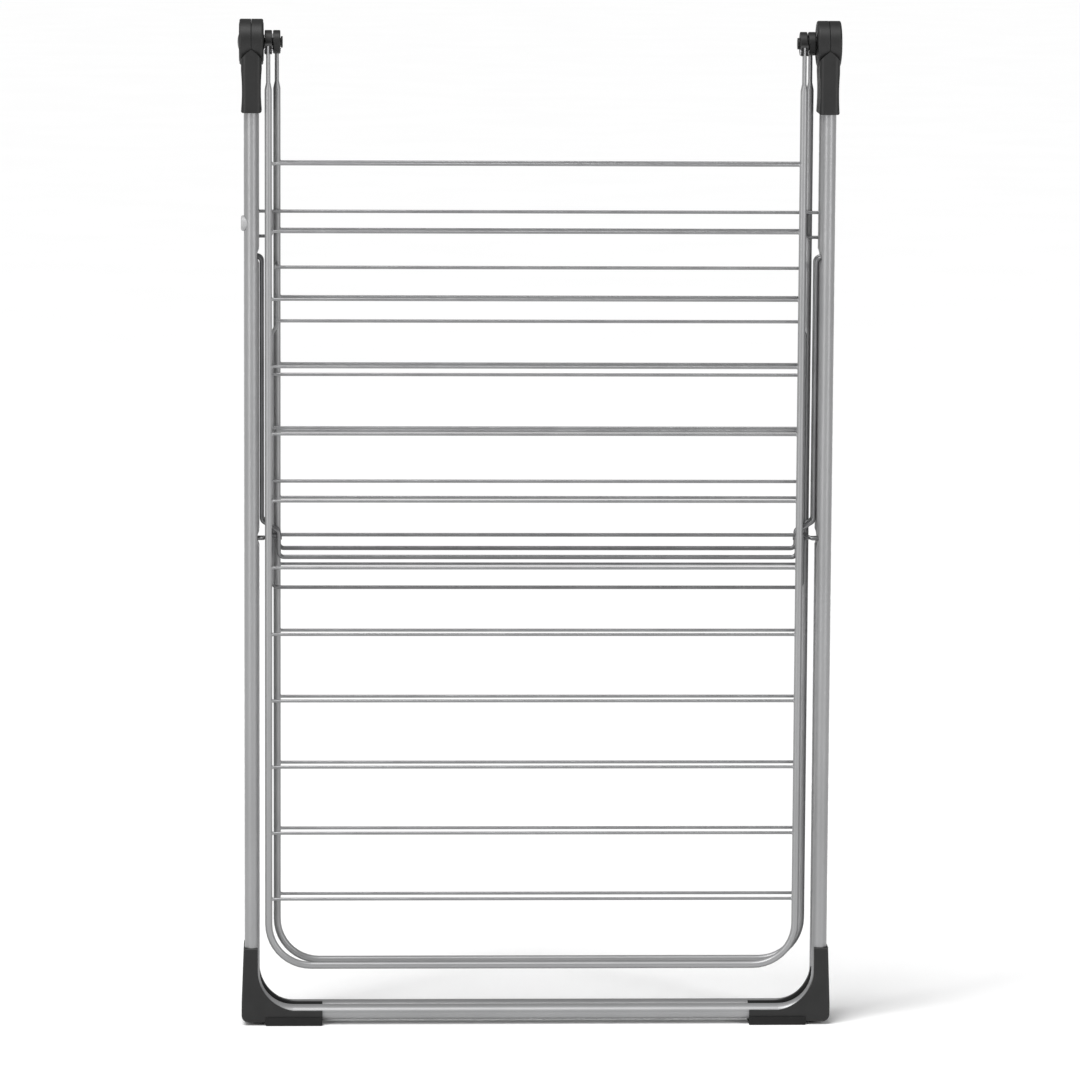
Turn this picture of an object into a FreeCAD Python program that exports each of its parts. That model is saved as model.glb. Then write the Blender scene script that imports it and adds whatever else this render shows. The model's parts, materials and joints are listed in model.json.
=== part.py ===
"""Free-standing folding drying rack, folded flat.

Millimetres, +Z up. X runs along the hinge axis and the front faces -Y. The origin is on the floor, midway
between the four feet. The rear leg frame and the rear wing are the front ones turned half a turn about Z.
"""
import FreeCAD, Part
import math
import os

V = FreeCAD.Vector
X_AXIS = V(1, 0, 0)
Z_AXIS = V(0, 0, 1)

# Overall frame
HINGE_Z = 956.0          # height of the hinge axis
LEG_X = 277.0            # upright centre to the middle of the rack
LEG_Y = 11.5             # leg frame plane to the middle of the rack
LEG_HALF_X = 7.25        # oval leg tube, half sizes
LEG_HALF_Y = 9.0
LEG_WALL = 1.2
LEG_BAR_Z = 11.8         # centre of the bottom bar
LEG_BEND_R = 40.0
LEG_TOP = 26.0           # depths are counted down from the hinge axis
DIMPLE_R = 17.0
DIMPLE_DEEP = 2.0

# Hinge mouldings
DISC_R = 22.0
DISC_T = 11.2
DISC_GAP = 0.3           # side gap between the two discs of one hinge
DISC_CLEAR = 0.4         # radial gap round the other moulding's disc
DISC_EDGE_R = 1.6        # at the free face
DISC_SEAM_R = 0.4        # at the face next to the other disc
SLEEVE_HALF_X = 9.8
SLEEVE_WAIST_X = 8.9
SLEEVE_WAIST = 45.0      # depth of the sleeve's narrowest place
SLEEVE_HALF_Y = 11.0
SLEEVE_ARCH_TOP = 6.5
SLEEVE_ARCH_FOOT = 15.8
SLEEVE_END = 67.0
SLEEVE_EDGE_R = 1.2      # bottom corners
SLEEVE_CORNER_R = 5.0    # upright front corners
SLEEVE_ARCH_BULGE = 0.6  # how far each side of the pointed arch bows out

# Hinge pins, rings and washers, |x| from the middle of the rack
PIN_R = 4.0
PIN_BORE_R = 4.06
PIN_INNER = 248.8
PIN_HEAD_R = 9.0
PIN_HEAD_T = 1.9
RING_R = 11.3
RING_T = 7.0
RING_OUTER = 260.75
RING_INNER = 252.75
SPACER_R = 7.0
WASHER_R = 8.0
CAP_R = 5.5
CAP_T = 1.8
SIDE_GAP = 0.25
LUG_Y = 19.2
LUG_DEPTH = 11.0
SLOT_TOP = 3.0

# Wings
WING_Y = 14.5
WING_R = 3.5
WING_WALL = 0.8
WING_BAR_DEPTH = 897.5
WING_BEND_R = 41.0
FLAT_HALF_X = 2.1
FLAT_HALF_Y = 4.0
FLAT_END = 38.0
FLAT_BLEND = 7.0
RIVET_R = 1.5
RIVET_DEPTH = 7.5
RIVET_HEAD_R = 2.4
RIVET_HEAD_T = 0.5
LINE_R = 1.5
LINE_COUNT = 12
LINE_FIRST = 115.8
LINE_PITCH = 65.1

# Wing stays
STAY_R = 2.1
STAY_Y = 8.2
STAY_PIVOT = 205.5
STAY_ARM_X = 267.2
STAY_BAR_X = 251.0
STAY_JOG_TOP = 461.0
STAY_JOG_END = 472.0
STAY_BAR_DEPTH = {"front": 496.5, "rear": 490.0}
STAY_BEND_R = 5.0
PIVOT_CLEAR = 0.08
PIVOT_REACH = 3.6        # how far a wire end reaches into the upright

# Inner ladder panel
LADDER_R = 1.75
LADDER_TOP = 211.5
LADDER_TOP_X = 253.5
LADDER_SIDE_X = 257.6
LADDER_JOG_TOP = 273.0
LADDER_JOG_END = 281.0
LADDER_BEND_R = 6.0
LADDER_HOOK_Y = 8.5
RUNG_R = 1.6
RUNG_FIRST = 216.3
RUNG_PITCH = 51.83
RUNG_COUNT = 7
PIVOT_RUNG = 5           # the sixth rung, counted from 0, is the pivot
PIVOT_RUNG_Y = 3.5
PIVOT_DEPTH = 478.5
PIVOT_Y = 8.0
CRANK_INNER_X = 259.0
CRANK_OUTER_X = 266.0
CRANK_BEND_R = 3.0

# Rear frame wires
REAR_RUNG_DEPTH = 163.0
REAR_RUNG_R = 1.6
REAR_WIRE_Y = 8.5        # the rung and eyelets pass in front of the rear wing
EYELET_DEPTH = 187.0
EYELET_REACH = 12.0
CATCH_Y = 3.9
CATCH_INNER_X = 248.0
CATCH_DEPTH = 479.5

# Feet, measured inwards from the upright's centre and up from the floor
FOOT_TOP = 76.5
FOOT_OUT_TOP = 8.2
FOOT_OUT_LOW = 10.3
FOOT_LOW_Z = 20.0
FOOT_CORNER_R = 7.0
FOOT_INNER = 5.6
FOOT_BASE_Z = 3.0
ARM_TOP_Z = 14.5
ARM_END = 68.5
ARM_START = 40.0
FOOT_HALF_Y = 11.0
FOOT_EDGE_R = 2.0
FLANGE_TOP_X = 7.3       # the foot's flange behind the tube's bend
FLANGE_TOP_Z = 53.0
FLANGE_MIDDLE = 30.6     # from the bend's centre to the middle of the flange's edge
FLANGE_END = 46.0
FLANGE_ARM_Z = 19.3
PAD_START = 13.2
PAD_LIP_Z = 8.2
PAD_LIP_T = 1.5

# Button on the left upright
BUTTON_DEPTH = 173.0
BUTTON_R = 7.5
BUTTON_RISE = 2.8
BUTTON_EDGE_R = 2.0


def low(depth):
    """Height of a point that lies this far below the hinge axis."""
    return HINGE_Z - depth


def half_turn(shape):
    """The same shape turned half a turn about Z, from the front to the rear."""
    turned = shape.copy()
    turned.rotate(V(0, 0, 0), Z_AXIS, 180)
    return turned


def rod_x(radius, x_from, x_to, y, z):
    """A round bar along X."""
    start = min(x_from, x_to)
    return Part.makeCylinder(radius, abs(x_to - x_from), V(start, y, z), X_AXIS)


def ellipse_wire(centre, x_radius, y_radius):
    """A level ellipse with its half sizes along X and Y."""
    if x_radius > y_radius:
        curve = Part.Ellipse(centre, x_radius, y_radius)
    else:
        curve = Part.Ellipse(centre + V(0, y_radius, 0), centre + V(-x_radius, 0, 0), centre)
    return Part.Wire([curve.toShape()])


def rounded_path(points, radius):
    """Straight runs through the points, joined by tangent arcs."""
    edges = []
    last = points[0]
    for before, corner, after in zip(points, points[1:], points[2:]):
        into = (corner - before).normalize()
        out = (after - corner).normalize()
        turn = into.getAngle(out)
        cut = radius * math.tan(turn / 2)
        start = corner - into * cut
        end = corner + out * cut
        inward = (out - into).normalize()
        middle = corner + inward * (radius / math.cos(turn / 2) - radius)
        edges.append(Part.LineSegment(last, start).toShape())
        edges.append(Part.Arc(start, middle, end).toShape())
        last = end
    edges.append(Part.LineSegment(last, points[-1]).toShape())
    return Part.Wire(edges)


def sweep(profile, path):
    """A solid from a closed profile that follows a smooth path."""
    return path.makePipeShell([profile], True, False)


def bent_wire(points, radius, bend_radius):
    """A round wire bent through the points."""
    direction = (points[1] - points[0]).normalize()
    circle = Part.Wire([Part.Circle(points[0], direction, radius).toShape()])
    return sweep(circle, rounded_path(points, bend_radius))


def u_path(x_left, x_right, y, z_top, z_bar, bend_radius):
    """A U in an upright plane: down one side, along the bar and up the other side."""
    corners = [V(x_left, y, z_top), V(x_left, y, z_bar), V(x_right, y, z_bar), V(x_right, y, z_top)]
    return rounded_path(corners, bend_radius)


# Leg frames

def leg_outer(shrink=0.0):
    """The front leg frame's tube as a full bar, thinner all round by shrink."""
    start = V(-LEG_X, -LEG_Y, low(LEG_TOP))
    profile = ellipse_wire(start, LEG_HALF_X - shrink, LEG_HALF_Y - shrink)
    return sweep(profile, u_path(-LEG_X, LEG_X, -LEG_Y, low(LEG_TOP), LEG_BAR_Z, LEG_BEND_R))


def dimples(radius):
    """Cross cylinders that press the pivot seats into the uprights' inner faces."""
    offset = LEG_X - LEG_HALF_X - DIMPLE_R + DIMPLE_DEEP
    cutters = []
    for side in (-1, 1):
        for depth in (STAY_PIVOT, PIVOT_DEPTH):
            base = V(side * offset, -LEG_Y - 2 * LEG_HALF_Y, low(depth))
            cutters.append(Part.makeCylinder(radius, 4 * LEG_HALF_Y, base, V(0, 1, 0)))
    return cutters


def upright_hole(side, radius, y, depth):
    """A hole through the inner wall of one upright."""
    return rod_x(radius, side * (LEG_X - 1.0), side * (LEG_X - 2 * LEG_HALF_X), y, low(depth))


def leg_tube(extra_holes):
    """One leg frame: a bent oval tube with pivot seats and holes in the uprights' inner faces."""
    skin = leg_outer().cut(dimples(DIMPLE_R))
    core = leg_outer(LEG_WALL).cut(dimples(DIMPLE_R + LEG_WALL))
    holes = []
    for side in (-1, 1):
        holes.append(upright_hole(side, STAY_R + PIVOT_CLEAR, -STAY_Y, STAY_PIVOT))
    return skin.cut(core).cut(holes + extra_holes)


def sleeve_outline():
    """Front outline of a hinge sleeve, below the hinge axis: a pointed arch on top and a waist."""
    arch_turn = math.atan2(SLEEVE_ARCH_FOOT - SLEEVE_ARCH_TOP, SLEEVE_HALF_X)
    arch_x = SLEEVE_HALF_X / 2 + SLEEVE_ARCH_BULGE * math.sin(arch_turn)
    arch_z = -(SLEEVE_ARCH_TOP + SLEEVE_ARCH_FOOT) / 2 + SLEEVE_ARCH_BULGE * math.cos(arch_turn)
    peak = V(0, 0, -SLEEVE_ARCH_TOP)
    waist_top = -SLEEVE_ARCH_FOOT - SLEEVE_HALF_Y
    waist_foot = -SLEEVE_END + SLEEVE_EDGE_R
    edges = []
    for side in (-1, 1):
        arch_foot = V(side * SLEEVE_HALF_X, 0, -SLEEVE_ARCH_FOOT)
        upper = V(side * SLEEVE_HALF_X, 0, waist_top)
        waist = V(side * SLEEVE_WAIST_X, 0, -SLEEVE_WAIST)
        lower = V(side * SLEEVE_HALF_X, 0, waist_foot)
        bottom = V(side * (SLEEVE_HALF_X - SLEEVE_EDGE_R), 0, -SLEEVE_END)
        edges.append(Part.Arc(peak, V(side * arch_x, 0, arch_z), arch_foot).toShape())
        edges.append(Part.LineSegment(arch_foot, upper).toShape())
        edges.append(Part.Arc(upper, waist, lower).toShape())
        edges.append(Part.LineSegment(lower, bottom).toShape())
        edges.append(Part.LineSegment(bottom, V(0, 0, -SLEEVE_END)).toShape())
    return Part.Wire(Part.__sortEdges__(edges))


def sleeve_block(centre_x):
    """The front frame's hinge sleeve before it is bored and cut, with rounded upright corners."""
    face = Part.Face(sleeve_outline())
    face.translate(V(centre_x, -LEG_Y + SLEEVE_HALF_Y, HINGE_Z))
    sleeve = face.extrude(V(0, -2 * SLEEVE_HALF_Y, 0))
    corner = V(centre_x - SLEEVE_HALF_X, -LEG_Y - SLEEVE_HALF_Y, low(SLEEVE_END))
    plan = Part.makeBox(2 * SLEEVE_HALF_X, 2 * SLEEVE_HALF_Y, SLEEVE_END, corner)
    front_edges = [edge for edge in plan.Edges if edge.BoundBox.YMax < corner.y + 0.01
                   and edge.BoundBox.ZLength > SLEEVE_END - 0.01]
    return sleeve.common(plan.makeFillet(SLEEVE_CORNER_R, front_edges))


def hinge_half(side):
    """Hinge moulding of the front leg frame: a disc on the +X half of the sleeve, on both sides."""
    centre_x = side * LEG_X
    disc_x = centre_x + DISC_GAP / 2
    other_disc = rod_x(DISC_R + DISC_CLEAR, centre_x - 2 * DISC_T, disc_x, 0, HINGE_Z)
    own_room = rod_x(DISC_R - DISC_EDGE_R, disc_x, centre_x + 2 * DISC_T, 0, HINGE_Z)
    disc = rod_x(DISC_R, disc_x, disc_x + DISC_T, 0, HINGE_Z)
    for rim_x, radius in ((disc_x, DISC_SEAM_R), (disc_x + DISC_T, DISC_EDGE_R)):
        rim = [edge for edge in disc.Edges if isinstance(edge.Curve, Part.Circle)
               and abs(edge.Curve.Center.x - rim_x) < 0.01]
        disc = disc.makeFillet(radius, rim)
    moulding = sleeve_block(centre_x).cut([other_disc, own_room]).fuse(disc)
    bore = rod_x(PIN_BORE_R, disc_x - 1, disc_x + DISC_T + 1, 0, HINGE_Z)
    socket_start = V(centre_x, -LEG_Y, low(SLEEVE_END + 1))
    socket = Part.Face(ellipse_wire(socket_start, LEG_HALF_X, LEG_HALF_Y))
    socket = socket.extrude(V(0, 0, SLEEVE_END + 1 - LEG_TOP))
    return moulding.cut([bore, socket]).removeSplitter()


def foot_outline(inward):
    """Side outline of a foot; inward is +1 on the left foot and -1 on the right one."""
    def at(x, z):
        return V(inward * x, 0, z)
    bend_z = LEG_BAR_Z + LEG_BEND_R
    bend_r = LEG_BEND_R - FOOT_INNER
    arc_turn = math.radians(40)
    arc_middle = at(LEG_BEND_R - bend_r * math.cos(arc_turn), bend_z - bend_r * math.sin(arc_turn))
    corner_middle = FOOT_CORNER_R * (1 - math.sqrt(0.5))
    edges = [
        Part.LineSegment(at(-FOOT_OUT_TOP, FOOT_TOP), at(FOOT_INNER, FOOT_TOP)),
        Part.LineSegment(at(FOOT_INNER, FOOT_TOP), at(FOOT_INNER, bend_z)),
        Part.Arc(at(FOOT_INNER, bend_z), arc_middle, at(ARM_START, ARM_TOP_Z)),
        Part.LineSegment(at(ARM_START, ARM_TOP_Z), at(ARM_END, ARM_TOP_Z)),
        Part.LineSegment(at(ARM_END, ARM_TOP_Z), at(ARM_END, FOOT_BASE_Z)),
        Part.LineSegment(at(ARM_END, FOOT_BASE_Z), at(-FOOT_OUT_LOW + FOOT_CORNER_R, FOOT_BASE_Z)),
        Part.Arc(
            at(-FOOT_OUT_LOW + FOOT_CORNER_R, FOOT_BASE_Z),
            at(-FOOT_OUT_LOW + corner_middle, FOOT_BASE_Z + corner_middle),
            at(-FOOT_OUT_LOW, FOOT_BASE_Z + FOOT_CORNER_R),
        ),
        Part.LineSegment(at(-FOOT_OUT_LOW, FOOT_BASE_Z + FOOT_CORNER_R), at(-FOOT_OUT_LOW, FOOT_LOW_Z)),
        Part.LineSegment(at(-FOOT_OUT_LOW, FOOT_LOW_Z), at(-FOOT_OUT_TOP, FOOT_TOP)),
    ]
    return Part.Wire([edge.toShape() for edge in edges])


def foot_flange(inward):
    """Outline of the flange that shows inside the tube's bend, behind the tube."""
    def at(x, z):
        return V(inward * x, 0, z)
    offset = FLANGE_MIDDLE * math.sqrt(0.5)
    middle = at(LEG_BEND_R - offset, LEG_BAR_Z + LEG_BEND_R - offset)
    edges = [
        Part.LineSegment(at(0, FOOT_LOW_Z), at(0, FLANGE_TOP_Z)),
        Part.LineSegment(at(0, FLANGE_TOP_Z), at(FLANGE_TOP_X, FLANGE_TOP_Z)),
        Part.Arc(at(FLANGE_TOP_X, FLANGE_TOP_Z), middle, at(FLANGE_END, FLANGE_ARM_Z)),
        Part.LineSegment(at(FLANGE_END, FLANGE_ARM_Z), at(ARM_END, FLANGE_ARM_Z)),
        Part.LineSegment(at(ARM_END, FLANGE_ARM_Z), at(ARM_END, LEG_BAR_Z)),
        Part.LineSegment(at(ARM_END, LEG_BAR_Z), at(FLANGE_END, LEG_BAR_Z)),
        Part.LineSegment(at(FLANGE_END, LEG_BAR_Z), at(0, FOOT_LOW_Z)),
    ]
    return Part.Wire([edge.toShape() for edge in edges])


def foot(side, tube):
    """Foot moulding of the front leg frame, wrapped round the tube's outside and front."""
    face = Part.Face(foot_outline(-side))
    face.translate(V(side * LEG_X, -LEG_Y + FOOT_HALF_Y, 0))
    block = face.extrude(V(0, -2 * FOOT_HALF_Y, 0))
    front_y = -LEG_Y - FOOT_HALF_Y
    outer_x = LEG_X + FOOT_OUT_TOP
    front_edges = [edge for edge in block.Edges if edge.BoundBox.YMax < front_y + 0.01
                   and max(-edge.BoundBox.XMin, edge.BoundBox.XMax) > outer_x - 0.01]
    flange = Part.Face(foot_flange(-side))
    flange.translate(V(side * LEG_X, -LEG_Y + FOOT_HALF_Y, 0))
    flange = flange.extrude(V(0, LEG_HALF_Y - FOOT_HALF_Y, 0))
    return block.makeFillet(FOOT_EDGE_R, front_edges).fuse(flange).cut(tube).removeSplitter()


def foot_pad(side):
    """Soft pad under a foot's arm, with a lip up its front."""
    x_outer = side * (LEG_X - PAD_START)
    x_inner = side * (LEG_X - ARM_END)
    front_y = -LEG_Y - FOOT_HALF_Y - PAD_LIP_T
    size_y = 2 * FOOT_HALF_Y + PAD_LIP_T
    corner = V(min(x_outer, x_inner), front_y, 0)
    block = Part.makeBox(abs(x_outer - x_inner), size_y, PAD_LIP_Z, corner)
    uprights = [edge for edge in block.Edges if edge.BoundBox.ZLength > PAD_LIP_Z - 0.01]
    front = [edge for edge in uprights if edge.BoundBox.YMax < front_y + 0.01]
    block = block.makeFillet(PAD_LIP_T, front)
    arm_room = Part.makeBox(4 * ARM_END, 2 * FOOT_HALF_Y + 1, PAD_LIP_Z)
    arm_room.translate(V(corner.x - ARM_END, front_y + PAD_LIP_T, FOOT_BASE_Z))
    return block.cut(arm_room)


def button(tube):
    """Small rounded button on the outer side of the left upright."""
    x_top = -LEG_X - LEG_HALF_X - BUTTON_RISE
    knob = rod_x(BUTTON_R, x_top, -LEG_X, -LEG_Y, low(BUTTON_DEPTH))
    rim = [edge for edge in knob.Edges if edge.BoundBox.XMax < x_top + 0.01]
    return knob.makeFillet(BUTTON_EDGE_R, rim).cut(tube)


# Hinge core

def hinge_pin(side):
    """Pin through one hinge, with a domed head outside."""
    head_x = LEG_X + DISC_GAP / 2 + DISC_T
    head_r = (PIN_HEAD_R ** 2 + PIN_HEAD_T ** 2) / (2 * PIN_HEAD_T)
    shaft = rod_x(PIN_R, side * PIN_INNER, side * head_x, 0, HINGE_Z)
    ball = Part.makeSphere(head_r, V(side * (head_x + PIN_HEAD_T - head_r), 0, HINGE_Z))
    slab = rod_x(PIN_HEAD_R, side * (head_x + SIDE_GAP / 3), side * (head_x + PIN_HEAD_T + 1), 0, HINGE_Z)
    neck = rod_x(PIN_R, side * (head_x - 1), side * (head_x + SIDE_GAP), 0, HINGE_Z)
    return shaft.fuse([neck, ball.common(slab)]).removeSplitter()


def pin_cap(side):
    """Push-on cap at the inner end of a hinge pin."""
    return rod_x(CAP_R, side * PIN_INNER, side * (PIN_INNER - CAP_T), 0, HINGE_Z)


def washer(side, x_from, x_to, radius):
    """Washer between two faces on a hinge pin, with a side gap to each."""
    body = rod_x(radius, side * (x_from + SIDE_GAP), side * (x_to - SIDE_GAP), 0, HINGE_Z)
    return body.cut(rod_x(PIN_R, side * x_from, side * x_to, 0, HINGE_Z))


def spacer_washers(side):
    """The two washers on one hinge pin."""
    ring_gap = washer(side, RING_INNER + RING_T / 2, RING_OUTER - RING_T / 2, WASHER_R)
    disc_inner = LEG_X - DISC_GAP / 2 - DISC_T
    disc_gap = washer(side, RING_OUTER + RING_T / 2, disc_inner, SPACER_R)
    return [ring_gap, disc_gap]


# Wings

def wing_sides():
    """Tube centres of the front wing, left and right."""
    return -RING_OUTER, RING_INNER


def rivet_hole(x, length):
    """Cross bar where a wing rivet runs."""
    return rod_x(RIVET_R, x - length / 2, x + length / 2, -WING_Y, low(RIVET_DEPTH))


def wing_ring(x):
    """Pivot ring of the front wing, with a slotted lug that takes the flattened tube end."""
    half = RING_T / 2
    ring = rod_x(RING_R, x - half, x + half, 0, HINGE_Z)
    rims = [edge for edge in ring.Edges if isinstance(edge.Curve, Part.Circle)]
    ring = ring.makeFillet(1.0, rims)
    lug = Part.makeBox(RING_T, LUG_Y, LUG_DEPTH, V(x - half, -LUG_Y, low(LUG_DEPTH)))
    front_top = [edge for edge in lug.Edges if edge.BoundBox.YMax < -LUG_Y + 0.01
                 and edge.BoundBox.ZMin > low(0.01)]
    lug = lug.makeFillet(5.0, front_top)
    slot_back = -WING_Y + FLAT_HALF_Y
    slot = Part.makeBox(2 * FLAT_HALF_X, LUG_Y, 2 * LUG_DEPTH, V(x - FLAT_HALF_X, 0, 0))
    slot.translate(V(0, slot_back - LUG_Y, low(SLOT_TOP) - 2 * LUG_DEPTH))
    bore = rod_x(PIN_BORE_R, x - RING_T, x + RING_T, 0, HINGE_Z)
    return ring.fuse(lug).cut([slot, bore, rivet_hole(x, 2 * RING_T)]).removeSplitter()


def wing_rivet(x):
    """Rivet through a ring's lug and the tube end, with a low head on each side."""
    half = RING_T / 2
    shank = rivet_hole(x, RING_T)
    heads = []
    for x_face, x_out in ((x - half - RIVET_HEAD_T, x - half), (x + half, x + half + RIVET_HEAD_T)):
        heads.append(rod_x(RIVET_HEAD_R, x_face, x_out, -WING_Y, low(RIVET_DEPTH)))
    return shank.fuse(heads).removeSplitter()


def wing_outer(shrink=0.0):
    """The round part of the front wing's tube as a full bar."""
    x_left, x_right = wing_sides()
    z_top = low(FLAT_END + FLAT_BLEND)
    circle = Part.Wire([Part.Circle(V(x_left, -WING_Y, z_top), Z_AXIS, WING_R - shrink).toShape()])
    path = u_path(x_left, x_right, -WING_Y, z_top, low(WING_BAR_DEPTH), WING_BEND_R)
    return sweep(circle, path)


def flat_end(x):
    """Flattened end of a wing tube, blending into the round tube."""
    blend_top = V(x, -WING_Y, low(FLAT_END))
    blend_foot = V(x, -WING_Y, low(FLAT_END + FLAT_BLEND))
    round_foot = Part.Wire([Part.Circle(blend_foot, Z_AXIS, WING_R).toShape()])
    flat_top = ellipse_wire(blend_top, FLAT_HALF_X, FLAT_HALF_Y)
    blend = Part.makeLoft([round_foot, flat_top], True)
    strip = Part.Face(flat_top).extrude(V(0, 0, FLAT_END - SLOT_TOP))
    return strip.fuse(blend)


def wing_tube():
    """The front wing's frame: a U-bent tube with flattened, drilled ends."""
    tube = wing_outer().cut(wing_outer(WING_WALL))
    ends = [flat_end(x) for x in wing_sides()]
    holes = [rivet_hole(x, RING_T) for x in wing_sides()]
    return tube.fuse(ends).cut(holes).removeSplitter()


def wing_line(index, tube_bar):
    """One line wire between the wing's tubes, with saddle-cut ends."""
    x_left, x_right = wing_sides()
    wire = rod_x(LINE_R, x_left, x_right, -WING_Y, low(LINE_FIRST + index * LINE_PITCH))
    return wire.cut(tube_bar)


# Wing stays

def stay(which):
    """Wing stay of the front frame: two arms with pivot ends, joggled inwards to the crossbar."""
    y = -STAY_Y
    x_end = LEG_X - LEG_HALF_X + DIMPLE_DEEP + PIVOT_REACH
    bar_z = low(STAY_BAR_DEPTH[which])
    half = [
        V(x_end, y, low(STAY_PIVOT)),
        V(STAY_ARM_X, y, low(STAY_PIVOT)),
        V(STAY_ARM_X, y, low(STAY_JOG_TOP)),
        V(STAY_BAR_X, y, low(STAY_JOG_END)),
        V(STAY_BAR_X, y, bar_z),
    ]
    points = [V(-p.x, p.y, p.z) for p in half] + list(reversed(half))
    return bent_wire(points, STAY_R, STAY_BEND_R)


# Inner ladder panel

def rung_z(index):
    """Height of one ladder rung."""
    return low(RUNG_FIRST + index * RUNG_PITCH)


def ladder_side_wire():
    """The ladder's outer wire: hooked tops, a joggle on each side and the bottom rung in one piece."""
    half = [
        V(LADDER_TOP_X, LADDER_HOOK_Y, low(LADDER_TOP) - LADDER_R),
        V(LADDER_TOP_X, 0, low(LADDER_TOP) - LADDER_R),
        V(LADDER_TOP_X, 0, low(LADDER_JOG_TOP)),
        V(LADDER_SIDE_X, 0, low(LADDER_JOG_END)),
        V(LADDER_SIDE_X, 0, rung_z(RUNG_COUNT - 1)),
    ]
    points = [V(-p.x, p.y, p.z) for p in half] + list(reversed(half))
    return bent_wire(points, LADDER_R, LADDER_BEND_R)


def ladder_rungs(side_wire):
    """The ladder's plain rungs, saddle-cut to the side wire."""
    rungs = []
    for index in range(RUNG_COUNT - 1):
        if index != PIVOT_RUNG:
            reach = LADDER_SIDE_X if rung_z(index) < low(LADDER_JOG_END) else LADDER_TOP_X
            rung = rod_x(RUNG_R, -reach, reach, 0, rung_z(index)).cut(side_wire)
            rungs.append(max(rung.Solids, key=lambda solid: solid.Volume))
    return rungs


def ladder_pivot_rung():
    """The rung that carries the ladder, cranked at each end into the front uprights."""
    x_end = LEG_X - LEG_HALF_X + DIMPLE_DEEP + PIVOT_REACH
    half = [
        V(x_end, -PIVOT_Y, low(PIVOT_DEPTH)),
        V(CRANK_OUTER_X, -PIVOT_Y, low(PIVOT_DEPTH)),
        V(CRANK_INNER_X, -PIVOT_RUNG_Y, rung_z(PIVOT_RUNG)),
    ]
    points = [V(-p.x, p.y, p.z) for p in half] + list(reversed(half))
    return bent_wire(points, LADDER_R, CRANK_BEND_R)


# Rear frame wires, drawn on the front frame and turned with it

def rear_rung():
    """Cross rung between the rear uprights, its ends in their walls."""
    reach = LEG_X - LEG_HALF_X
    return rod_x(REAR_RUNG_R, -reach, reach, -REAR_WIRE_Y, low(REAR_RUNG_DEPTH))


def hanger_eyelet(side):
    """Short wire loop for a hanger hook, standing off one rear upright below the rung."""
    x_face = side * (LEG_X - LEG_HALF_X)
    x_tip = side * (LEG_X - LEG_HALF_X - EYELET_REACH)
    points = [
        V(x_face, -REAR_WIRE_Y, low(EYELET_DEPTH)),
        V(x_tip, -REAR_WIRE_Y, low(EYELET_DEPTH)),
        V(x_tip, -REAR_WIRE_Y, low(REAR_RUNG_DEPTH) - REAR_RUNG_R),
    ]
    return bent_wire(points, REAR_RUNG_R, STAY_BEND_R - 1.0)


def ladder_catch(side):
    """Cranked catch stud that the open ladder hooks over."""
    points = [
        V(side * (LEG_X - LEG_HALF_X + PIVOT_REACH), -PIVOT_Y, low(CATCH_DEPTH)),
        V(side * CRANK_OUTER_X, -PIVOT_Y, low(CATCH_DEPTH)),
        V(side * CRANK_INNER_X, -CATCH_Y, low(CATCH_DEPTH)),
        V(side * CATCH_INNER_X, -CATCH_Y, low(CATCH_DEPTH)),
    ]
    return bent_wire(points, LADDER_R, CRANK_BEND_R)


def save(name, shapes):
    """Write one node from one shape or a list of separate ones."""
    solids = shapes if isinstance(shapes, list) else [shapes]
    result = solids[0] if len(solids) == 1 else Part.makeCompound(solids)
    assert result.isValid(), name
    result.exportStep("parts/" + name + ".step")
    box = result.BoundBox
    print(f"{name}: {len(result.Solids)} solid, {result.Volume:.0f} mm3, "
          f"z {box.ZMin:.2f} to {box.ZMax:.2f}")


def save_leg_frames():
    """Both leg frames with their hinge mouldings, feet and pads."""
    bar = leg_outer()
    front_holes = [upright_hole(side, LADDER_R + PIVOT_CLEAR, -PIVOT_Y, PIVOT_DEPTH) for side in (-1, 1)]
    rear_holes = [upright_hole(side, LADDER_R, -PIVOT_Y, CATCH_DEPTH) for side in (-1, 1)]
    save("front_leg_tube", leg_tube(front_holes))
    save("rear_leg_tube", half_turn(leg_tube(rear_holes)))
    for side, near, far in ((-1, "left", "right"), (1, "right", "left")):
        moulding = hinge_half(side)
        foot_shape = foot(side, bar)
        pad = foot_pad(side)
        save("front_hinge_" + near, moulding)
        save("rear_hinge_" + far, half_turn(moulding))
        save("front_foot_" + near, foot_shape)
        save("rear_foot_" + far, half_turn(foot_shape))
        save("front_pad_" + near, pad)
        save("rear_pad_" + far, half_turn(pad))
    save("leg_button", button(bar))
    save("rear_rung", half_turn(rear_rung()))
    save("hanger_eyelets", [half_turn(hanger_eyelet(side)) for side in (-1, 1)])
    save("ladder_catches", [half_turn(ladder_catch(side)) for side in (-1, 1)])


def save_hinge_core():
    """Pins, caps and washers of both hinges."""
    for side, near in ((-1, "left"), (1, "right")):
        save("hinge_pin_" + near, hinge_pin(side))
    save("pin_caps", [pin_cap(side) for side in (-1, 1)])
    save("spacer_washers", spacer_washers(-1) + spacer_washers(1))


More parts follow.
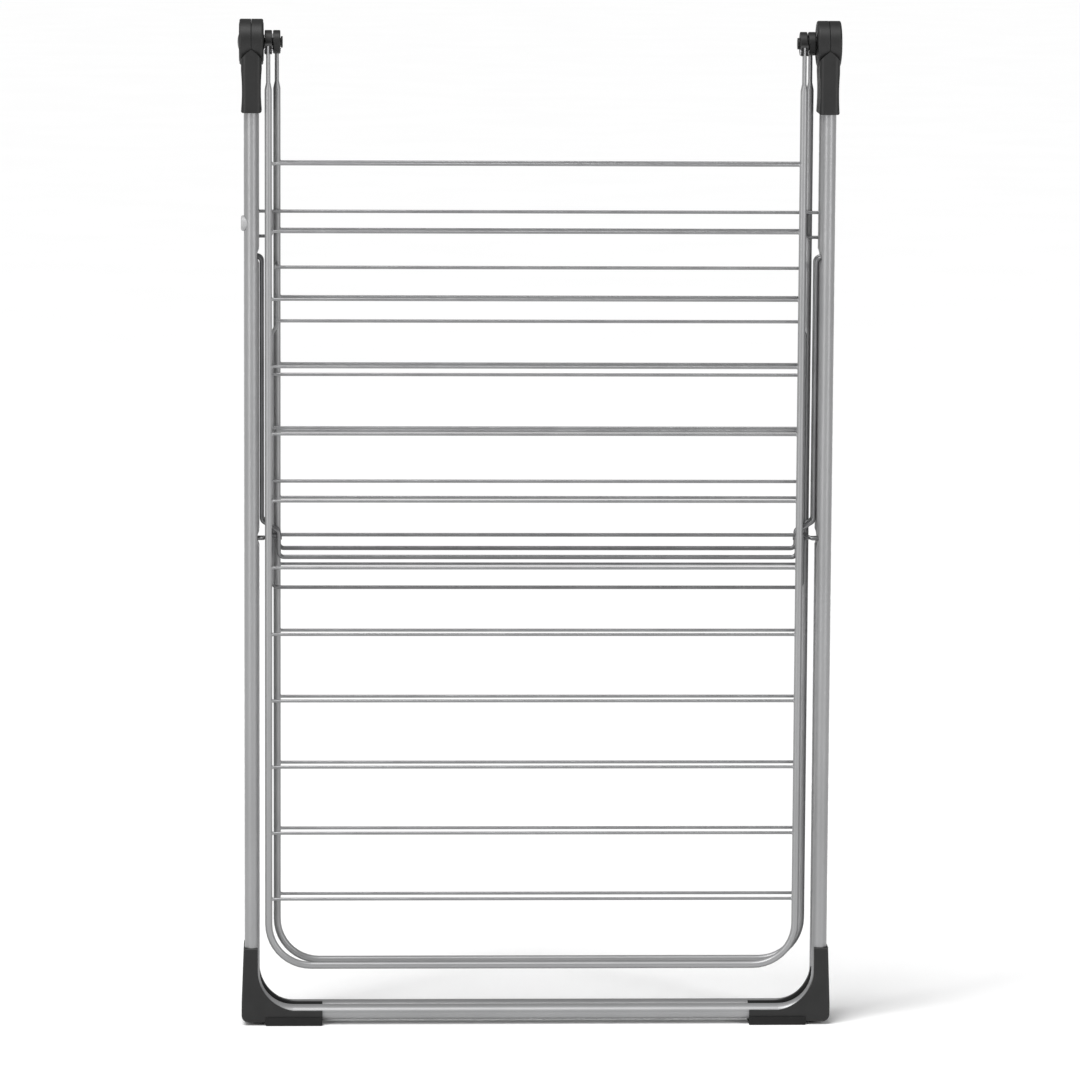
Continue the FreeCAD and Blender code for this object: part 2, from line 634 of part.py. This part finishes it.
def save_wings():
    """Both wings with their rings, rivets and lines."""
    tube = wing_tube()
    bar = wing_outer()
    x_left, x_right = wing_sides()
    rivets = [wing_rivet(x_left), wing_rivet(x_right)]
    save("front_wing_tube", tube)
    save("rear_wing_tube", half_turn(tube))
    save("front_wing_rivets", rivets)
    save("rear_wing_rivets", [half_turn(rivet) for rivet in rivets])
    for x, near, far in ((x_left, "left", "right"), (x_right, "right", "left")):
        ring = wing_ring(x)
        save("front_ring_" + near, ring)
        save("rear_ring_" + far, half_turn(ring))
    for index in range(LINE_COUNT):
        line = wing_line(index, bar)
        save(f"front_line_{index + 1:02d}", line)
        save(f"rear_line_{index + 1:02d}", half_turn(line))


def save_stays_and_ladder():
    """Both wing stays and the inner ladder panel."""
    save("front_stay", stay("front"))
    save("rear_stay", half_turn(stay("rear")))
    side_wire = ladder_side_wire()
    save("ladder_side_wire", side_wire)
    save("ladder_rungs", ladder_rungs(side_wire))
    save("ladder_pivot_rung", ladder_pivot_rung())


os.makedirs("parts", exist_ok=True)
save_leg_frames()
save_hinge_core()
save_wings()
save_stays_and_ladder()
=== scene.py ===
"""Looks of a free-standing winged drying rack, folded flat. Metres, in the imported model's own frame."""
import bmesh
import bpy
import json
import math
from mathutils import Matrix, Vector


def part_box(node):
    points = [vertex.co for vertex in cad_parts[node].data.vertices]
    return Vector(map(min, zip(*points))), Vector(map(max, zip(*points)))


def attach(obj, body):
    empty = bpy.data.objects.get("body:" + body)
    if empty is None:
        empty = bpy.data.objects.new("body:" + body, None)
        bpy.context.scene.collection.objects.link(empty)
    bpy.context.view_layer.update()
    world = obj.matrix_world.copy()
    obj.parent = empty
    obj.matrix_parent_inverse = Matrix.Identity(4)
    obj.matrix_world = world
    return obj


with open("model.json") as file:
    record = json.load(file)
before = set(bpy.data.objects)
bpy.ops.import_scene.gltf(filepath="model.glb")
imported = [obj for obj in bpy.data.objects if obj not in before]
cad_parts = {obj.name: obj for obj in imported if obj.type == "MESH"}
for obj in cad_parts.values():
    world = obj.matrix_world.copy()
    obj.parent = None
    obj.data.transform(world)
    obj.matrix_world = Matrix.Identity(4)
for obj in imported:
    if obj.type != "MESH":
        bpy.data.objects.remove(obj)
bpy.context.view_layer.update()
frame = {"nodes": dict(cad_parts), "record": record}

MM = 0.001
nodes = frame["nodes"]
bpy.context.view_layer.update()


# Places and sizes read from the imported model

def middle(node):
    """Middle of a CAD node's box."""
    low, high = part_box(node)
    return (Vector(low) + Vector(high)) / 2


def half_size(node):
    """Half the size of a CAD node's box."""
    low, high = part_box(node)
    return (Vector(high) - Vector(low)) / 2


HINGE_Z = middle("hinge_pin_left").z
WIRE_R = half_size("front_line_01").y
RUNG_R = half_size("ladder_rungs").y
REAR_R = half_size("rear_rung").y
LEG_Y = abs(middle("front_leg_tube").y)
LEG_HALF_Y = half_size("front_leg_tube").y

# Sizes that no node's box gives
LEG_HALF_X = 7.25 * MM
WING_TUBE_R = 3.5 * MM
LADDER_WIRE_R = 1.75 * MM
DISC_R = 22.0 * MM
SLEEVE_DROP = 24.0 * MM      # from the hinge axis down to the sleeves' smooth part

LEG_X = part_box("front_leg_tube")[1][0] - LEG_HALF_X
SLEEVE_TOP = HINGE_Z - SLEEVE_DROP


# Materials

class Shader:
    """A material's node tree, built with short calls."""

    def __init__(self, name):
        self.material = bpy.data.materials.new(name)
        self.material.use_nodes = True
        self.tree = self.material.node_tree
        self.surface = self.tree.nodes["Principled BSDF"]
        self.place = self.tree.nodes.new("ShaderNodeTexCoord").outputs["Object"]

    def join(self, source, target):
        """Links an output to an input."""
        self.tree.links.new(source, target)

    def noise(self, scale, detail=2.0, stretch=None):
        """Noise with features about 1/scale metres across, optionally stretched along the axes."""
        texture = self.tree.nodes.new("ShaderNodeTexNoise")
        texture.inputs["Scale"].default_value = scale
        texture.inputs["Detail"].default_value = detail
        place = self.place
        if stretch:
            mapping = self.tree.nodes.new("ShaderNodeMapping")
            mapping.inputs["Scale"].default_value = stretch
            self.join(place, mapping.inputs["Vector"])
            place = mapping.outputs["Vector"]
        self.join(place, texture.inputs["Vector"])
        return texture.outputs["Fac"]

    def cells(self, scale):
        """Distance to the nearest of scattered points, for grains and specks."""
        texture = self.tree.nodes.new("ShaderNodeTexVoronoi")
        texture.inputs["Scale"].default_value = scale
        self.join(self.place, texture.inputs["Vector"])
        return texture.outputs["Distance"]

    def ramp(self, value, low, high, at_low=0.35, at_high=0.65):
        """A value turned into a colour or a grey between low and high."""
        ramp = self.tree.nodes.new("ShaderNodeValToRGB")
        ramp.color_ramp.elements[0].position = at_low
        ramp.color_ramp.elements[1].position = at_high
        ramp.color_ramp.elements[0].color = rgba(low)
        ramp.color_ramp.elements[1].color = rgba(high)
        self.join(value, ramp.inputs["Fac"])
        return ramp.outputs["Color"]

    def multiply(self, factor, first, second):
        """The first colour darkened by the second, as far as the factor says."""
        mix = self.tree.nodes.new("ShaderNodeMix")
        mix.data_type = "RGBA"
        mix.blend_type = "MULTIPLY"
        mix.inputs["Factor"].default_value = factor
        first_colour, second_colour = [socket for socket in mix.inputs if socket.type == "RGBA"]
        self.join(first, first_colour)
        self.join(second, second_colour)
        return next(socket for socket in mix.outputs if socket.type == "RGBA")

    def range(self, value, low, high):
        """A value from 0 to 1 moved to the range low to high."""
        scaled = self.tree.nodes.new("ShaderNodeMapRange")
        scaled.inputs["To Min"].default_value = low
        scaled.inputs["To Max"].default_value = high
        self.join(value, scaled.inputs["Value"])
        return scaled.outputs["Result"]

    def bump(self, height, depth, strength, under=None):
        """Surface relief of that depth in metres, laid over any relief under it."""
        bump = self.tree.nodes.new("ShaderNodeBump")
        bump.inputs["Distance"].default_value = depth
        bump.inputs["Strength"].default_value = strength
        self.join(height, bump.inputs["Height"])
        if under:
            self.join(under, bump.inputs["Normal"])
        return bump.outputs["Normal"]

    def finish(self, colour, roughness, normal, metallic=0.0, specular=0.5):
        """Wires the surface and returns the material."""
        surface = self.surface.inputs
        self.join(colour, surface["Base Color"])
        self.join(roughness, surface["Roughness"])
        self.join(normal, surface["Normal"])
        surface["Metallic"].default_value = metallic
        surface["Specular IOR Level"].default_value = specular
        return self.material


def rgba(colour):
    """A grey level or an RGB colour as RGBA."""
    if isinstance(colour, float):
        colour = (colour, colour, colour)
    return (*colour, 1.0)


def lacquered_steel():
    """Silver-grey lacquer on steel: fine metal flake, a soft orange peel and slight unevenness."""
    s = Shader("lacquered_steel")
    tone = s.ramp(s.noise(7.0, 3.0), (0.262, 0.263, 0.266), (0.292, 0.293, 0.297))
    flake = s.ramp(s.cells(2400.0), 0.78, 1.0, 0.05, 0.45)
    colour = s.multiply(0.4, tone, flake)
    roughness = s.range(s.noise(900.0, 2.0), 0.36, 0.46)
    peel = s.bump(s.noise(320.0, 1.0), 0.00012, 0.08)
    grain = s.bump(s.noise(2600.0, 2.0), 0.00002, 0.30, peel)
    return s.finish(colour, roughness, grain, metallic=0.45)


def drawn_wire(name, dark, light):
    """The lacquer on drawn wire: smoother, with faint lengthwise scratches."""
    s = Shader(name)
    tone = s.ramp(s.noise(30.0, 3.0), dark, light)
    flake = s.ramp(s.cells(3000.0), 0.90, 1.0, 0.05, 0.45)
    colour = s.multiply(0.3, tone, flake)
    roughness = s.range(s.noise(500.0, 3.0), 0.26, 0.34)
    peel = s.bump(s.noise(160.0, 1.0), 0.00005, 0.03)
    drawn = s.bump(s.noise(900.0, 1.0, (0.05, 1.0, 1.0)), 0.000005, 0.05, peel)
    return s.finish(colour, roughness, drawn, metallic=0.70)


def moulded_plastic(name, tones, roughnesses, grain_scale, grain_depth, specular=0.45):
    """Moulded plastic with a spark-eroded skin: fine pits, faint cloudiness and flow marks.

    tones are its darkest and lightest colour, and roughnesses its lowest and highest roughness.
    """
    s = Shader(name)
    cloud = s.ramp(s.noise(55.0, 3.0), *tones)
    specks = s.ramp(s.cells(grain_scale * 0.7), 0.86, 1.0, 0.1, 0.5)
    colour = s.multiply(0.5, cloud, specks)
    roughness = s.range(s.noise(160.0, 4.0), *roughnesses)
    flow = s.bump(s.noise(90.0, 1.0, (1.0, 1.0, 0.35)), 0.0001, 0.12)
    pits = s.bump(s.noise(grain_scale, 3.0), grain_depth, 0.55, flow)
    return s.finish(colour, roughness, pits, specular=specular)


def black_plastic():
    """The hinge mouldings, rings and feet."""
    return moulded_plastic("black_plastic", (0.0080, 0.0110), (0.46, 0.56), 2300.0, 0.00005, specular=0.38)


def soft_pad():
    """Softer, duller foot pads."""
    return moulded_plastic("soft_pad", (0.0045, 0.0065), (0.62, 0.74), 1500.0, 0.00008, specular=0.3)


def black_pin():
    """Pin heads, a little smoother than the mouldings."""
    return moulded_plastic("black_pin", (0.012, 0.016), (0.32, 0.42), 3000.0, 0.00003)


def grey_button():
    """Light grey moulded button."""
    tones = ((0.31, 0.31, 0.315), (0.37, 0.37, 0.375))
    return moulded_plastic("grey_button", tones, (0.36, 0.46), 2600.0, 0.00003)


def plated_steel():
    """Bright zinc plate with a fine crystalline cast."""
    s = Shader("plated_steel")
    tone = s.ramp(s.cells(700.0), (0.50, 0.50, 0.52), (0.66, 0.66, 0.67), 0.1, 0.7)
    tint = s.ramp(s.noise(240.0, 2.0), (0.92, 0.93, 1.0), (1.0, 0.98, 0.93))
    colour = s.multiply(0.5, tone, tint)
    roughness = s.range(s.noise(1800.0, 3.0), 0.22, 0.36)
    turned = s.bump(s.noise(2200.0, 1.0), 0.00002, 0.4)
    return s.finish(colour, roughness, turned, metallic=1.0)


def studio_floor():
    """Pale paper with the faintest mottling."""
    s = Shader("studio_floor")
    colour = s.ramp(s.noise(3.0, 2.0), 0.925, 0.935)
    roughness = s.range(s.noise(12.0, 2.0), 0.80, 0.90)
    return s.finish(colour, roughness, s.bump(s.noise(400.0, 2.0), 0.0001, 0.05), specular=0.1)


materials = {
    "lacquered_steel": lacquered_steel(),
    "black_plastic": black_plastic(),
    "soft_pad": soft_pad(),
    "plated_steel": plated_steel(),
    "black_pin": black_pin(),
    "grey_button": grey_button(),
}
line_wire = drawn_wire("line_wire", (0.235, 0.236, 0.240), (0.275, 0.277, 0.281))
# A darker copy of the same wire lacquer for the stays and ladder wires: its darker tones are painted shade,
# standing in for the dark reflections on these shiny wires
stay_wire_painted_shade = drawn_wire("stay_wire_painted_shade", (0.150, 0.151, 0.154), (0.185, 0.186, 0.190))

# Words in the names of the nodes that are drawn wire, whatever their slot; the stays' words pick the darker
# copy of the lacquer, whose darkness is painted shade
LINE_NODES = ("_line_", "ladder_rungs", "rear_rung")
STAY_NODES = ("_stay", "ladder_side_wire", "ladder_pivot_rung", "hanger_eyelets", "ladder_catches")


def dress_nodes():
    """Gives every CAD node the material of its slot, or of its kind of wire; stays and ladder wires take a
    darker copy of the same lacquer, darkened as painted shade.
    """
    for part in frame["record"]["subparts"]:
        name = part["node"]
        material = materials[part["material_slot"]]
        if any(word in name for word in LINE_NODES):
            material = line_wire
        # These wires take the lacquer copy darkened as painted shade
        if any(word in name for word in STAY_NODES):
            material = stay_wire_painted_shade
        for material_slot in nodes[name].material_slots:
            material_slot.material = material


# Mesh pieces

def add_piece(name, mesh, body, slot):
    """Turns a bmesh into a smooth piece that rides on a body and takes a slot's material."""
    bmesh.ops.recalc_face_normals(mesh, faces=mesh.faces[:])
    for face in mesh.faces:
        face.smooth = True
    data = bpy.data.meshes.new(name)
    mesh.to_mesh(data)
    mesh.free()
    data.materials.append(materials[slot])
    piece = bpy.data.objects.new(name, data)
    bpy.context.scene.collection.objects.link(piece)
    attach(piece, body)
    return piece


def skin_rings(mesh, rings, closed):
    """Joins rings of points with quads; closed joins the last ring to the first."""
    verts = [[mesh.verts.new(point) for point in ring] for ring in rings]
    count = len(verts[0])
    pairs = list(zip(verts, verts[1:]))
    if closed:
        pairs.append((verts[-1], verts[0]))
    for first, second in pairs:
        for i in range(count):
            j = (i + 1) % count
            mesh.faces.new((first[i], first[j], second[j], second[i]))
    if not closed:
        mesh.faces.new(verts[0])
        mesh.faces.new(verts[-1])


BEAD_SIDES = 28
BEAD_ARC = 6
BEAD_SINK = 0.12 * MM        # how far a bead reaches into the tube and the wire
BEAD_RIPPLE = 0.22           # unevenness of its edge, as a part of its width
BEAD_REACH = 0.97            # how far round the tube it may reach, as a part of the tube's half depth

# Widths and heights of the beads
LINE_BEAD = (1.0 * MM, 0.9 * MM)
RUNG_BEAD = (0.8 * MM, 0.7 * MM)
REAR_RUNG_BEAD = (1.1 * MM, 0.9 * MM)
EYELET_BEAD = (1.0 * MM, 0.8 * MM)


def weld_bead(mesh, tube, wire, out, size, seed):
    """A concave bead where a wire along X meets an upright tube.

    tube is (x, y, half x, half y), wire is (y, z, radius), out is the wire's way along X, size is the bead's
    width and height, and seed turns its ripple.
    """
    tube_x, tube_y, half_x, half_y = tube
    wire_y, wire_z, wire_r = wire
    width, height = size
    profile = []
    for step in range(BEAD_ARC + 1):
        turn = math.pi / 2 * step / BEAD_ARC
        profile.append((wire_r + width * (1 - math.sin(turn)), height * (1 - math.cos(turn))))
    profile.append((wire_r - BEAD_SINK, height))
    profile.append((wire_r - BEAD_SINK, -BEAD_SINK))
    profile.append((wire_r + width, -BEAD_SINK))
    rings = []
    for radius, rise in profile:
        ring = []
        for side in range(BEAD_SIDES):
            turn = 2 * math.pi * side / BEAD_SIDES
            ripple = 1 + BEAD_RIPPLE * math.sin(3 * turn + seed) * max(0.0, radius - wire_r) / width
            reach = wire_r + (radius - wire_r) * ripple
            y = wire_y + reach * math.sin(turn)
            y = max(tube_y - BEAD_REACH * half_y, min(tube_y + BEAD_REACH * half_y, y))
            z = wire_z + reach * math.cos(turn)
            bulge = half_x * math.sqrt(1 - ((y - tube_y) / half_y) ** 2)
            ring.append((tube_x + out * (bulge + rise), y, z))
        rings.append(ring)
    skin_rings(mesh, rings, closed=True)


def wing_tubes(which):
    """Tube centres of one wing along X, left and right."""
    low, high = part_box(which + "_wing_tube")
    return low[0] + WING_TUBE_R, high[0] - WING_TUBE_R


def line_welds(which):
    """Weld beads at both ends of every line of one wing."""
    mesh = bmesh.new()
    left, right = wing_tubes(which)
    lines = sorted(name for name in nodes if name.startswith(which + "_line_"))
    for index, name in enumerate(lines):
        centre = middle(name)
        wire = (centre.y, centre.z, WIRE_R)
        for x, out in ((left, 1), (right, -1)):
            tube = (x, centre.y, WING_TUBE_R, WING_TUBE_R)
            weld_bead(mesh, tube, wire, out, LINE_BEAD, index * 1.7 + out)
    add_piece(which + "_line_welds", mesh, which + "_wing", "lacquered_steel")


def island_boxes(node):
    """Boxes (lowest corner, highest corner) of the separate solids in a CAD node, lowest solid first."""
    work = bmesh.new()
    work.from_mesh(nodes[node].data)
    bmesh.ops.remove_doubles(work, verts=work.verts, dist=1e-6)
    left = set(work.verts)
    boxes = []
    while left:
        reached = [left.pop()]
        corners = []
        while reached:
            vert = reached.pop()
            corners.append(vert.co.copy())
            for edge in vert.link_edges:
                other = edge.other_vert(vert)
                if other in left:
                    left.discard(other)
                    reached.append(other)
        low = Vector([min(corner[axis] for corner in corners) for axis in range(3)])
        high = Vector([max(corner[axis] for corner in corners) for axis in range(3)])
        boxes.append((low, high))
    work.free()
    return sorted(boxes, key=lambda box: box[0].z)


def ladder_welds():
    """Weld beads where the ladder's plain rungs meet its side wires."""
    mesh = bmesh.new()
    for index, (low, high) in enumerate(island_boxes("ladder_rungs")):
        z = (low.z + high.z) / 2
        for x, out in ((low.x, 1), (high.x, -1)):
            tube = (x - out * LADDER_WIRE_R, 0.0, LADDER_WIRE_R, LADDER_WIRE_R)
            weld_bead(mesh, tube, (0.0, z, RUNG_R), out, RUNG_BEAD, index * 2.3 + out)
    add_piece("ladder_rung_welds", mesh, "ladder", "lacquered_steel")


def upright_welds():
    """Weld beads where the rear rung and the hanger eyelets meet the rear uprights."""
    mesh = bmesh.new()
    rung = middle("rear_rung")
    for x, out in ((-LEG_X, 1), (LEG_X, -1)):
        tube = (x, LEG_Y, LEG_HALF_X, LEG_HALF_Y)
        weld_bead(mesh, tube, (rung.y, rung.z, REAR_R), out, REAR_RUNG_BEAD, 0.4 + out)
        eyelet_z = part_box("hanger_eyelets")[0][2] + REAR_R
        weld_bead(mesh, tube, (rung.y, eyelet_z, REAR_R), out, EYELET_BEAD, 2.4 + out)
    add_piece("rear_rung_welds", mesh, "rear_frame", "lacquered_steel")


RIDGE_ARC = 8
RIDGE_SIDES = 72
RIDGE_SINK = 0.3 * MM        # how far a ridge reaches into the face under it

# Distance in from the disc's rim, width and height of each ridge
RIDGES = (
    (4.0 * MM, 1.2 * MM, 0.4 * MM),
    (7.0 * MM, 0.8 * MM, 0.3 * MM),
)


def turned_ring(mesh, x, out, radius, width, rise):
    """A half-round ridge that circles the hinge axis on a face at x, standing out along X."""
    section = []
    for step in range(RIDGE_ARC + 1):
        turn = math.pi * step / RIDGE_ARC
        section.append((radius - width / 2 * math.cos(turn), rise * math.sin(turn)))
    section.append((radius + width / 2, -RIDGE_SINK))
    section.append((radius - width / 2, -RIDGE_SINK))
    rings = []
    for step in range(RIDGE_SIDES):
        turn = 2 * math.pi * step / RIDGE_SIDES
        rings.append([
            (x + out * h, r * math.sin(turn), HINGE_Z + r * math.cos(turn)) for r, h in section
        ])
    skin_rings(mesh, rings, closed=True)


def hinge_ridges():
    """Moulded ridges on one face of each hinge disc."""
    for which, side in (("front", 1), ("rear", -1)):
        mesh = bmesh.new()
        for hinge in ("_hinge_left", "_hinge_right"):
            low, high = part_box(which + hinge)
            face = high[0] if side > 0 else low[0]
            for inset, width, rise in RIDGES:
                turned_ring(mesh, face, side, DISC_R - inset, width, rise)
        add_piece(which + "_hinge_ridges", mesh, which + "_frame", "black_plastic")


SEAM_HALF_WIDTH = 0.25 * MM
SEAM_RISE = 0.10 * MM
SEAM_CROWN = 0.4             # width of the seam's top, as a part of its foot
RAY_START = 50.0 * MM        # how far from an upright's centre the rays to its skin start
FOOT_SEAM_LOW = 8.0 * MM     # from a foot's lowest point up to its seam
FOOT_SEAM_HIGH = 1.0 * MM    # from its seam up to its highest point
SLEEVE_SEAM_LOW = 3.0 * MM   # from a sleeve's lower end up to its seam
FOOT_SEAM_STEPS = 24
SLEEVE_SEAM_STEPS = 16


def seam(mesh, node, start, end, way, steps):
    """A parting line: a fine ridge on the skin that rays along way meet, from start to end."""
    way = Vector(way)
    run = (Vector(end) - Vector(start)).normalized()
    across = way.cross(run).normalized()
    rings = []
    for step in range(steps + 1):
        origin = Vector(start).lerp(Vector(end), step / steps)
        hit, place, normal, _ = nodes[node].ray_cast(origin, way)
        if hit:
            foot = across * SEAM_HALF_WIDTH
            crown = foot * SEAM_CROWN
            rise = normal * SEAM_RISE
            rings.append([place + foot - rise, place + crown + rise, place - crown + rise, place - foot - rise])
    if len(rings) > 1:
        skin_rings(mesh, rings, closed=False)


def parting_lines(which):
    """Parting lines down the outer sides of one frame's feet, and both sides of its sleeves."""
    mesh = bmesh.new()
    y = middle(which + "_leg_tube").y
    for near, side in (("_left", -1), ("_right", 1)):
        outside = side * (LEG_X + RAY_START)
        inside = side * (LEG_X - RAY_START)
        foot = which + "_foot" + near
        foot_low, foot_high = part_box(foot)
        low = foot_low[2] + FOOT_SEAM_LOW
        high = foot_high[2] - FOOT_SEAM_HIGH
        seam(mesh, foot, (outside, y, low), (outside, y, high), (-side, 0, 0), FOOT_SEAM_STEPS)
        hinge = which + "_hinge" + near
        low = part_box(hinge)[0][2] + SLEEVE_SEAM_LOW
        for x, way in ((outside, -side), (inside, side)):
            seam(mesh, hinge, (x, y, low), (x, y, SLEEVE_TOP), (way, 0, 0), SLEEVE_SEAM_STEPS)
    add_piece(which + "_parting_lines", mesh, which + "_frame", "black_plastic")


# Studio

CAMERA_PLACE = Vector((-0.2117, -5.7668, 1.2387))
CAMERA_SENSOR = 36.0
CAMERA_FAR = 200.0
CAMERA_YAW = math.radians(2.124)
CAMERA_PITCH = math.radians(7.692)
CAMERA_ROLL = math.radians(0.313)
CAMERA_LENS = 200.1
CAMERA_SHIFT_Y = 0.0149
FLOOR_HALF = 45.0
SOFTBOX_PLACE = (2.4, -2.4, 1.3)
SOFTBOX_SIZE = (0.6, 2.0)
SOFTBOX_WATTS = 34.0
SOFTBOX_AIM = (0.0, 0.0, 0.5)
AMBIENT = 0.30
OVERHEAD_STRENGTH = 2.78
OVERHEAD_WIDTH = math.radians(34)
OVERHEAD_TILT = (math.radians(20), math.radians(-16), 0.0)


def add_camera():
    """The camera in front of the rack, looking a little down."""
    forward = Vector((
        math.sin(CAMERA_YAW) * math.cos(CAMERA_PITCH),
        math.cos(CAMERA_YAW) * math.cos(CAMERA_PITCH),
        -math.sin(CAMERA_PITCH),
    ))
    level = forward.cross(Vector((0, 0, 1))).normalized()
    above = level.cross(forward)
    right = level * math.cos(CAMERA_ROLL) + above * math.sin(CAMERA_ROLL)
    up = above * math.cos(CAMERA_ROLL) - level * math.sin(CAMERA_ROLL)
    data = bpy.data.cameras.new("camera")
    data.sensor_width = CAMERA_SENSOR
    data.lens = CAMERA_LENS
    data.shift_y = CAMERA_SHIFT_Y
    data.clip_end = CAMERA_FAR
    turn = Matrix((right, up, -forward)).transposed().to_4x4()
    camera = bpy.data.objects.new("camera", data)
    camera.matrix_world = Matrix.Translation(CAMERA_PLACE) @ turn
    bpy.context.scene.collection.objects.link(camera)
    bpy.context.scene.camera = camera


def add_softbox(name, side):
    """A tall soft light in front of the rack, on the left (-1) or the right (1), aimed at its middle."""
    x, y, z = SOFTBOX_PLACE
    place = Vector((side * x, y, z))
    data = bpy.data.lights.new(name, "AREA")
    data.shape = "RECTANGLE"
    data.size, data.size_y = SOFTBOX_SIZE
    data.energy = SOFTBOX_WATTS
    light = bpy.data.objects.new(name, data)
    light.location = place
    light.rotation_euler = (Vector(SOFTBOX_AIM) - place).to_track_quat("-Z", "Y").to_euler()
    bpy.context.scene.collection.objects.link(light)


def add_overhead():
    """A wide soft light from above."""
    data = bpy.data.lights.new("overhead", "SUN")
    data.energy = OVERHEAD_STRENGTH
    data.angle = OVERHEAD_WIDTH
    light = bpy.data.objects.new("overhead", data)
    light.rotation_euler = OVERHEAD_TILT
    bpy.context.scene.collection.objects.link(light)


def add_floor():
    """The pale floor."""
    mesh = bmesh.new()
    bmesh.ops.create_grid(mesh, x_segments=4, y_segments=4, size=FLOOR_HALF)
    data = bpy.data.meshes.new("studio_floor")
    mesh.to_mesh(data)
    mesh.free()
    data.materials.append(studio_floor())
    floor = bpy.data.objects.new("studio_floor", data)
    bpy.context.scene.collection.objects.link(floor)


def add_surroundings():
    """White surroundings: dim as a light, and plain white where they show behind the floor."""
    world = bpy.data.worlds.new("studio")
    world.use_nodes = True
    tree = world.node_tree
    background = tree.nodes["Background"].inputs
    background["Color"].default_value = (1.0, 1.0, 1.0, 1.0)
    strength = tree.nodes.new("ShaderNodeMapRange")
    strength.inputs["To Min"].default_value = AMBIENT
    strength.inputs["To Max"].default_value = 1.0
    seen = tree.nodes.new("ShaderNodeLightPath").outputs["Is Camera Ray"]
    tree.links.new(seen, strength.inputs["Value"])
    tree.links.new(strength.outputs["Result"], background["Strength"])
    bpy.context.scene.world = world
    bpy.context.scene.view_settings.view_transform = "Standard"


dress_nodes()
for wing in ("front", "rear"):
    line_welds(wing)
    parting_lines(wing)
ladder_welds()
upright_welds()
hinge_ridges()
add_camera()
add_floor()
add_surroundings()
add_softbox("left_softbox", -1)
add_softbox("right_softbox", 1)
add_overhead()
